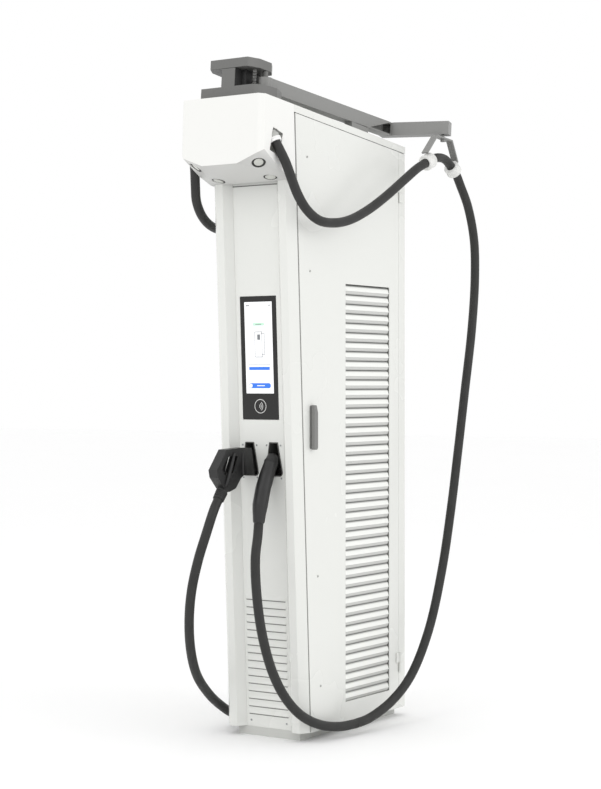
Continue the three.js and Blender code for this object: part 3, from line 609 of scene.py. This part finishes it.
def add_display():
    """The picture on the screen, and the contactless mark below it."""
    front, back = 0.00008, 0.0004
    for name, x, down, w, h, material, radius, lift in PICTURE:
        z = SCREEN["top"] - (SCREEN["top"] - SCREEN["foot"]) * down
        outline = rounded(x - w / 2, x + w / 2, z - h / 2, z + h / 2, radius, 4)
        slab(name, outline, front - lift, back, material, "cabinet", edge=0)
    marks = ((-0.008, 0.006, 48), (-0.008, 0.0115, 48), (-0.008, 0.017, 48), (0, 0.0215, 180))
    for i, (x, reach, swing) in enumerate(marks):
        edge = arc((x, 1.053), reach + 0.0010, -swing, swing, 6 * (1 + i))
        inner = arc((x, 1.053), reach - 0.0010, swing, -swing, 6 * (1 + i))
        slab(f"tap_mark_{i}", edge + inner, -0.00005, back, "print", "cabinet", edge=0)


# ---------------------------------------------------------------- head details
def facing_down(a, b, c):
    """The downward unit normal of the plane through three points."""
    n = (Vector(b) - Vector(a)).cross(Vector(c) - Vector(a)).normalized()
    return n if n.z < 0 else -n


def add_lamp_discs():
    """Lamp discs under the head, set in the CAD rings."""
    corner = facing_down((0.066, -0.563, 1.7925), (0.156, -0.457, 1.777), (0.156, -0.545, 1.832))
    belly = facing_down((0.066, -0.563, 1.7925), (0.088, -0.372, 1.745), (0.156, -0.457, 1.777))
    lamps = (("front", (0.119, -0.522, 1.797), corner, 0.0146, 0.0008),
             ("rear", (0.099, -0.430, 1.7625), belly, 0.0164, 0.0019))
    for side, sign in SIDES:
        mirror = Vector((sign, 1, 1))
        for name, at, normal, radius, proud in lamps:
            profile = [(-0.0002, radius), (proud, radius), (proud + 0.0006, radius - 0.0012),
                       (proud + 0.0007, radius * 0.3)]
            turned(f"lamp_disc_{name}_{side}", profile, Vector(at) * mirror, normal * mirror,
                   "lens", "cabinet")


def add_pocket_liners():
    """The painted inside of each cable pocket, with painted shade darkening its rear wall."""
    turn = Matrix.Translation((0, -0.480, 1.861)) @ Matrix.Rotation(math.radians(-15), 4, "X")
    half_y, half_z = 0.0267, 0.0367
    for side, sign in SIDES:
        corners = [(sign * x, a * half_y, b * half_z) for x in (0.1163, 0.1553)
                   for a, b in ((-1, -1), (1, -1), (1, 1), (-1, 1))]
        walls = [(0, 1, 2, 3), (0, 1, 5, 4), (2, 3, 7, 6), (3, 0, 4, 7)]
        new_piece(f"pocket_liner_{side}", corners, walls, "pocket", "cabinet", turn)
        new_piece(f"pocket_rear_wall_{side}", corners, [(1, 2, 6, 5)], "shade", "cabinet",
                  turn)


def add_gland_nuts():
    """The ribbed white nut on the mouth of each cable gland."""
    loop = [(-0.0120, 0.0190), (-0.0110, 0.0205), (-0.0065, 0.0205), (-0.0055, 0.0192),
            (-0.0045, 0.0205), (0.0004, 0.0205), (0.0014, 0.0192), (0.0014, 0.0156), (-0.0120, 0.0156)]
    for side, sign in SIDES:
        mouth = Vector((sign * 0.1555, -0.485, 1.861))
        along = Vector((sign * 0.0145, 0.003, -0.032))
        collar(f"gland_nut_{side}", loop, mouth, along, "gland", "cabinet")


def add_head_shadow_line():
    """Painted shadow: a dark line where the head sits on the column's front."""
    half, z0, z1 = PANEL_HALF, 1.7466, 1.7494
    slab("head_shadow_line", [(-half, z0), (half, z0), (half, z1), (-half, z1)], CENTRE_FACE - 0.0008,
         CENTRE_FACE + 0.001, "painted_shade", "cabinet", edge=0)


# ---------------------------------------------------------------- fixings
def flat_piece(name, outline, x0, x1, material, body, edge):
    """A plate with a (y, z) outline from x0 to x1."""
    points, faces = rings_to_mesh([[(x, y, z) for y, z in outline] for x in (x0, x1)])
    return soften(new_piece(name, points, faces, material, body), edge, 3, weld=False)


def add_handle():
    """Swing lever with a cut corner, on its plate, in place of the CAD's squarer ones."""
    outline = rounded(-0.2960, -0.2740, 0.918, 1.055, 0.005, 4)
    plate = flat_piece("handle_plate", outline, 0.1561, 0.1592, "handle", "door", 0.0006)
    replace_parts(plate, "handle_escutcheon")
    outline = [(-0.2955, 0.920), (-0.2915, 0.916), (-0.2795, 0.916), (-0.2745, 0.921),
               (-0.2745, 1.032), (-0.2825, 1.0555), (-0.2925, 1.0560), (-0.2955, 1.0520)]
    lever = flat_piece("handle_swing", outline, 0.1612, 0.1745, "handle", "door_lever",
                       0.0020)
    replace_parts(lever, "handle_lever")


def add_gap_shade_lines():
    """Painted shade: dark strips in the joint between the corner trims and the side skins."""
    for side, sign in SIDES:
        x0, x1 = sorted((sign * 0.1503, sign * 0.1538))
        box(f"gap_shade_line_{side}", (x0, 0.0026, 0.030), (x1, 0.0064, 1.735), "painted_shade", "cabinet",
            FACE)


def add_screws():
    """Screws of the skins, holsters and bracket cap, anchor bolts, and the plug of the unused hole."""
    for i, z in enumerate((1.832, 1.476, 0.516, 0.168)):
        for side, sign, body in (("door", 1, "door"), ("side", -1, "cabinet")):
            at = (sign * HALF_WIDTH, gap_y(z) + 0.067, z)
            screw(f"{side}_screw_{i}", at, (sign, 0, 0), body, 0.0040, "plain")
    for side, sign in SIDES:
        for i, (x, z) in enumerate(((0.019, 0.930), (0.073, 0.930), (0.019, 0.826), (0.073, 0.826))):
            at = on_face(sign * x, CENTRE_FACE, z)
            screw(f"holster_screw_{side}_{i}", at, FACE_OUTWARD, "cabinet", 0.0032)
    for i, (x, y) in enumerate(((-0.085, -0.24), (0.085, -0.24), (-0.085, 0.24), (0.085, 0.24))):
        turned(f"anchor_bolt_{i}", [(0, 0.011), (0.007, 0.011), (0.0078, 0.0095)], (x, y, 0.006),
               (0, 0, 1), "zinc", "cabinet", sides=6)
    turned("blanking_plug", [(-0.0008, 0.0140), (0.0012, 0.0140), (0.0020, 0.0128), (0.0022, 0.004)],
           (-HALF_WIDTH, -0.280, 1.034), (-1, 0, 0), "plain", "cabinet")
    for side, sign in SIDES:
        for i, y in enumerate((0.060, 0.128)):
            at = ROOF @ Vector((sign * 0.060, y, CAP_TOP))
            screw(f"cap_screw_{side}_{i}", at, ROOF_UP, "cabinet", 0.0055)


def coil(centre, radius, z0, z1, turns, steps):
    """Points of a spring standing on the roof."""
    x, y = centre
    angles = [2 * math.pi * i / steps for i in range(turns * steps + 1)]
    return [ROOF @ Vector((x + radius * math.cos(a), y + radius * math.sin(a),
                           z0 + (z1 - z0) * i / (turns * steps))) for i, a in enumerate(angles)]


def add_bracket_fittings():
    """Spring and cap of the arm bracket, a dark block and dark liners on its web as painted shade in its
    recess, and a sleeve on each arm rest.
    """
    spring = coil((0.066, 0.078), 0.0062, 0.041, 0.094, 11, 14)
    tube("arm_spring", spring, 0.0015, "spring", "cabinet", sides=8)
    web_foot, web_top = 0.0392, 0.0955
    # A dark block in the recess behind the web: painted shade.
    box("recess_shade_block", (0.0264, 0.066, web_foot), (0.0420, 0.148, web_top), "dark", "cabinet",
        ROOF, 0.0015)
    right = [(0.070, 0.166), (0.093, 0.129), (0.091, 0.070), (0.070, 0.0315)]
    outline = right + [(-x, y) for x, y in reversed(right)]
    points, faces = rings_to_mesh([[(x, y, z) for x, y in outline] for z in (0.0970, CAP_TOP)])
    cap = new_piece("bracket_top", points, faces, "bracket", "cabinet", ROOF)
    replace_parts(soften(cap, 0.0012, 2, weld=False), "arm_bracket_cap")
    for side, sign in SIDES:
        # Dark sheets on the web's faces: painted shade.
        x0, x1 = sorted((sign * 0.0249, sign * 0.0262))
        box(f"web_shade_{side}", (x0, 0.0335, web_foot), (x1, 0.148, web_top), "dark", "cabinet",
            ROOF)
        x0, x1 = sorted((sign * 0.0790, sign * 0.1090))
        box(f"rest_sleeve_{side}", (x0, 0.5818, 0.0002), (x1, 0.6852, 0.0362), "arm", "cabinet",
            ROOF, 0.001)


# ---------------------------------------------------------------- cable clamps and connectors
CLAMPS = (
    (1, (0.280, 0.216, 1.8565), (0.280, 0.253, 1.8711)),
    (2, (0.280, 0.390, 1.8625), (0.280, 0.419, 1.8442)),
)


def clamp_section(long, ribs=5):
    """Closed section of a ribbed collar of a given length."""
    step = (long - 0.004) / ribs
    outer = [(0.0, 0.0195), (0.0010, 0.0225)]
    for i in range(ribs):
        s = 0.002 + step * i
        outer += [(s, 0.0228), (s + step * 0.14, 0.0266), (s + step * 0.58, 0.0266),
                  (s + step * 0.72, 0.0228)]
    outer += [(long - 0.0010, 0.0225), (long, 0.0195)]
    return outer + [(long, 0.0156), (0.0, 0.0156)]


def add_clamps():
    """Ribbed collars snug round the cable, in place of the plain CAD ones."""
    for side, sign in SIDES:
        for number, start, stop in CLAMPS:
            a = Vector((sign * start[0], *start[1:]))
            b = Vector((sign * stop[0], *stop[1:]))
            ring = collar(f"clamp_{number}_{side}", clamp_section((b - a).length), a, b - a,
                          "clamp", f"arm_{side}")
            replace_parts(ring, f"cable_clamp_{number}_{side}")


def ribbed_relief(name, inside, exit_point, r0, r1, body):
    """A moulded strain relief with grooves round it, thinning towards the cable."""
    a, b = Vector(inside), Vector(exit_point)
    long = (b - a).length
    outer = []
    for i in range(4):
        s = long * (0.18 + 0.2 * i)
        r = r0 + (r1 - r0) * s / long
        outer += [(s - 0.0024, r + 0.0006), (s - 0.0018, r - 0.0012), (s + 0.0010, r - 0.0012),
                  (s + 0.0016, r + 0.0006)]
    loop = [(0, r0 + 0.0006)] + outer
    loop += [(long - 0.001, r1 + 0.0006), (long, r1), (long, 0.0152), (0, 0.0152)]
    return collar(name, loop, a, b - a, "relief", body)


def add_connectors():
    """Grooved reliefs on both connectors. Returns the pieces each cable ends in."""
    right = ribbed_relief("relief_right", (0.046, -0.4136, 0.7185), (0.046, -0.417, 0.690),
                          0.0184, 0.0164, "plug_right")
    left = ribbed_relief("relief_left", (-0.046, -0.486, 0.7862), (-0.046, -0.5045, 0.7632),
                         0.0186, 0.0172, "plug_left")
    guard = [(-0.425, 0.897), (-0.475, 0.895), (-0.503, 0.858), (-0.489, 0.839), (-0.449, 0.845)]
    flat_piece("hand_guard", guard, -0.0632, -0.0612, "connector", "plug_left",
               0.0004)
    ridge = [(-0.027, -0.444, 0.906), (-0.0262, -0.462, 0.868), (-0.0265, -0.481, 0.824),
             (-0.029, -0.489, 0.806)]
    tube("guard_ridge", ridge, [0.0040, 0.0062, 0.0058, 0.0036], "connector", "plug_left",
         16)
    collar("nose_ring", [(0, 0.016), (0, 0.0232), (0.005, 0.0232), (0.005, 0.016)],
           (0.046, -0.3475, 0.8765), (0, -0.56, -0.83), "relief", "plug_right")
    return {"right": [NODES["connector_right"], right], "left": [NODES["connector_left"], left]}


def mould(obj, passes, grow):
    """Melts a CAD body's facets and edges into one moulded skin, grown by a small amount."""
    skin = obj.modifiers.new("skin", "REMESH")
    skin.mode = "VOXEL"
    skin.voxel_size = 0.0015
    skin.use_smooth_shade = True
    ease = obj.modifiers.new("ease", "SMOOTH")
    ease.factor = 0.5
    ease.iterations = passes
    swell = obj.modifiers.new("swell", "DISPLACE")
    swell.mid_level = 0
    swell.strength = grow


# ---------------------------------------------------------------- cables
# Centrelines. The back of the top length and the whole drop are the right cable's, mirrored for
# the left.
CABLE_BACK = [
    (0.230, -0.179, 1.641), (0.240, -0.087, 1.678), (0.252, 0.005, 1.729), (0.264, 0.098, 1.788),
    (0.274, 0.174, 1.836), (0.280, 0.216, 1.8565), (0.280, 0.254, 1.8715), (0.280, 0.290, 1.882),
    (0.280, 0.328, 1.885), (0.280, 0.356, 1.8805), (0.280, 0.379, 1.8694), (0.280, 0.4048, 1.8532),
]
CABLE_TOP = {
    "right": [
        (0.156, -0.485, 1.860), (0.168, -0.478, 1.833), (0.181, -0.465, 1.795), (0.191, -0.447, 1.745),
        (0.198, -0.426, 1.702), (0.206, -0.391, 1.660), (0.214, -0.334, 1.630), (0.222, -0.261, 1.626),
    ] + CABLE_BACK,
    "left": [
        (0.156, -0.485, 1.860), (0.166, -0.470, 1.833), (0.178, -0.449, 1.796), (0.190, -0.430, 1.747),
        (0.200, -0.411, 1.704), (0.208, -0.374, 1.664), (0.215, -0.322, 1.637), (0.222, -0.253, 1.626),
    ] + CABLE_BACK,
}
CABLE_DROP = [
    (0.280, 0.4054, 1.8528), (0.280, 0.427, 1.8392), (0.280, 0.456, 1.806), (0.280, 0.512, 1.735),
    (0.280, 0.556, 1.623), (0.280, 0.562, 1.485), (0.280, 0.539, 1.310), (0.280, 0.490, 1.101),
    (0.280, 0.441, 0.895), (0.280, 0.390, 0.692), (0.278, 0.331, 0.492), (0.270, 0.254, 0.296),
    (0.257, 0.160, 0.158), (0.242, 0.063, 0.087), (0.222, -0.046, 0.0445), (0.210, -0.1138, 0.0355),
]
CABLE_RISE = {
    "right": [
        (0.2098, -0.115, 0.0355), (0.198, -0.186, 0.0365), (0.182, -0.276, 0.0545), (0.164, -0.358, 0.095),
        (0.142, -0.408, 0.151), (0.120, -0.446, 0.231), (0.092, -0.460, 0.339), (0.065, -0.453, 0.459),
        (0.050, -0.441, 0.580), (0.046, -0.4225, 0.648), (0.046, -0.4171, 0.6892),
    ],
    "left": [
        (-0.2098, -0.115, 0.0355), (-0.200, -0.182, 0.0375), (-0.200, -0.222, 0.048),
        (-0.199, -0.272, 0.074),
        (-0.190, -0.352, 0.123), (-0.167, -0.453, 0.203), (-0.140, -0.521, 0.293), (-0.115, -0.562, 0.393),
        (-0.090, -0.582, 0.489), (-0.068, -0.578, 0.582), (-0.054, -0.557, 0.659), (-0.046, -0.527, 0.733),
        (-0.046, -0.5047, 0.7631),
    ],
}


def add_cable(name, points, between, start, end, **facts):
    """One length of cable, a tube along a smooth curve through its points. between, start and end are not
    used.
    """
    path = route(points)
    obj = tube(name, path, CABLE_DIAMETER / 2, "cable", None, sides=24)
    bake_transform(obj)
    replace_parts(obj, name.replace("flex_", "cable_"))


def add_cables(connectors):
    for side, sign in SIDES:
        def mirrored(points):
            return [(sign * x, y, z) for x, y, z in points]
        arm = f"arm_{side}"
        add_cable(f"flex_top_{side}", mirrored(CABLE_TOP[side]), ("cabinet", arm),
                  (sign * 0.18, -0.44, 1.7), (sign * 0.27, 0.20, 1.7), far_end="object")
        add_cable(f"flex_drop_{side}", mirrored(CABLE_DROP), (arm, "cabinet"),
                  (sign * 0.28, 0.5, 1.80), (sign * 0.28, 0.5, 0.15), far_end="object")
        add_cable(f"flex_rise_{side}", CABLE_RISE[side], ("cabinet", f"plug_{side}"),
                  (sign * 0.1, -0.4, 0.12), (sign * 0.1, -0.4, 0.62), far_end="connector",
                  with_pieces=connectors[side])


# ---------------------------------------------------------------- carried-over CAD nodes
CAD_LOOKS = {
    # node or its start: (material, edge radius, segments)
    "head_shell": ("head", 0.0035, 3),
    "roof_cap": ("body", 0.0012, 2),
    "corner_trim": ("body", 0.0012, 2),
    "door_panel": ("body", 0.0012, 2),
    "side_panel": ("body", 0.0012, 2),
    "rear_panel": ("body", 0.0016, 2),
    "base_plinth": ("plinth", 0.0015, 2),
    "hinge_": ("body", 0.0006, 1),
    "frame_post": ("zinc", 0.0015, 2),
    "mounting_plate": ("zinc", 0.0005, 1),
    "power_module": ("zinc", 0.0015, 2),
    "handle_spindle": ("zinc", 0.0008, 2),
    "display_bezel": ("glass", 0.0008, 2),
    "display_screen": ("screen", 0.0001, 1),
    "card_reader": ("dark", 0.0015, 2),
    "holster": ("holster", 0.0008, 2),
    "downlight": ("ring", 0.0006, 1),
    "arm_bracket": ("bracket", 0.0012, 2),
    "swing_arm": ("arm", 0.0012, 2),
    "cable_hanger": ("arm", 0.0012, 2),
    "cable_gland": ("shade", 0.0010, 2),
    "control_board": ("board", 0.0008, 1),
    "energy_meter": ("meter", 0.0020, 2),
    "main_breaker": ("dark", 0.0010, 2),
    "breaker_toggle": ("dark", 0.0008, 2),
    "dc_contactor": ("dark", 0.0030, 2),
    "fan_": ("dark", 0.0008, 1),
}


def dress_cad_nodes():
    """Material and rounded edges on every carried-over node."""
    for name, obj in NODES.items():
        for start, (material, width, segments) in CAD_LOOKS.items():
            if name.startswith(start):
                paint(obj, material)
                soften(obj, width, segments)
    for side, passes, grow in (("right", 30, 0.0026), ("left", 6, -0.0018)):
        mould(paint(NODES[f"connector_{side}"], "connector"), passes, grow)


# ---------------------------------------------------------------- stage
def add_area(name, place, aim, size, power):
    data = bpy.data.lights.new(name, "AREA")
    data.shape = "RECTANGLE"
    data.size, data.size_y = size
    data.energy = power
    lamp = bpy.data.objects.new(name, data)
    lamp.location = place
    lamp.rotation_euler = (Vector(aim) - Vector(place)).to_track_quat("-Z", "Y").to_euler()
    bpy.context.scene.collection.objects.link(lamp)


def add_stage():
    world = bpy.data.worlds.new("studio")
    world.use_nodes = True
    world.node_tree.nodes["Background"].inputs["Color"].default_value = (1, 1, 1, 1)
    world.node_tree.nodes["Background"].inputs["Strength"].default_value = 1.0
    bpy.context.scene.world = world
    bpy.context.scene.view_settings.view_transform = "Standard"
    mesh = bpy.data.meshes.new("floor")
    reach = 30
    corners = [(-reach, -reach, 0), (reach, -reach, 0), (reach, reach, 0), (-reach, reach, 0)]
    mesh.from_pydata(corners, [], [(0, 1, 2, 3)])
    floor = bpy.data.objects.new("floor", mesh)
    bpy.context.scene.collection.objects.link(floor)
    surface = Surface("floor_paint", "#fefefe", 0.9).vary_colour(0.7, 0.995, 1.0)
    floor.data.materials.append(surface.material)
    add_area("key", (-0.5, -5.5, 5.0), (0, -0.4, 1.8), (2.5, 2.5), 40)
    add_area("side_fill", (5.5, 0.5, 3.6), (0, 0, 1.6), (3, 3), 42)


add_camera()
add_side_louvres()
add_front_panel()
add_display()
add_lamp_discs()
add_pocket_liners()
add_gland_nuts()
add_head_shadow_line()
add_handle()
add_gap_shade_lines()
add_screws()
add_bracket_fittings()
add_clamps()
add_cables(add_connectors())
dress_cad_nodes()
add_stage()
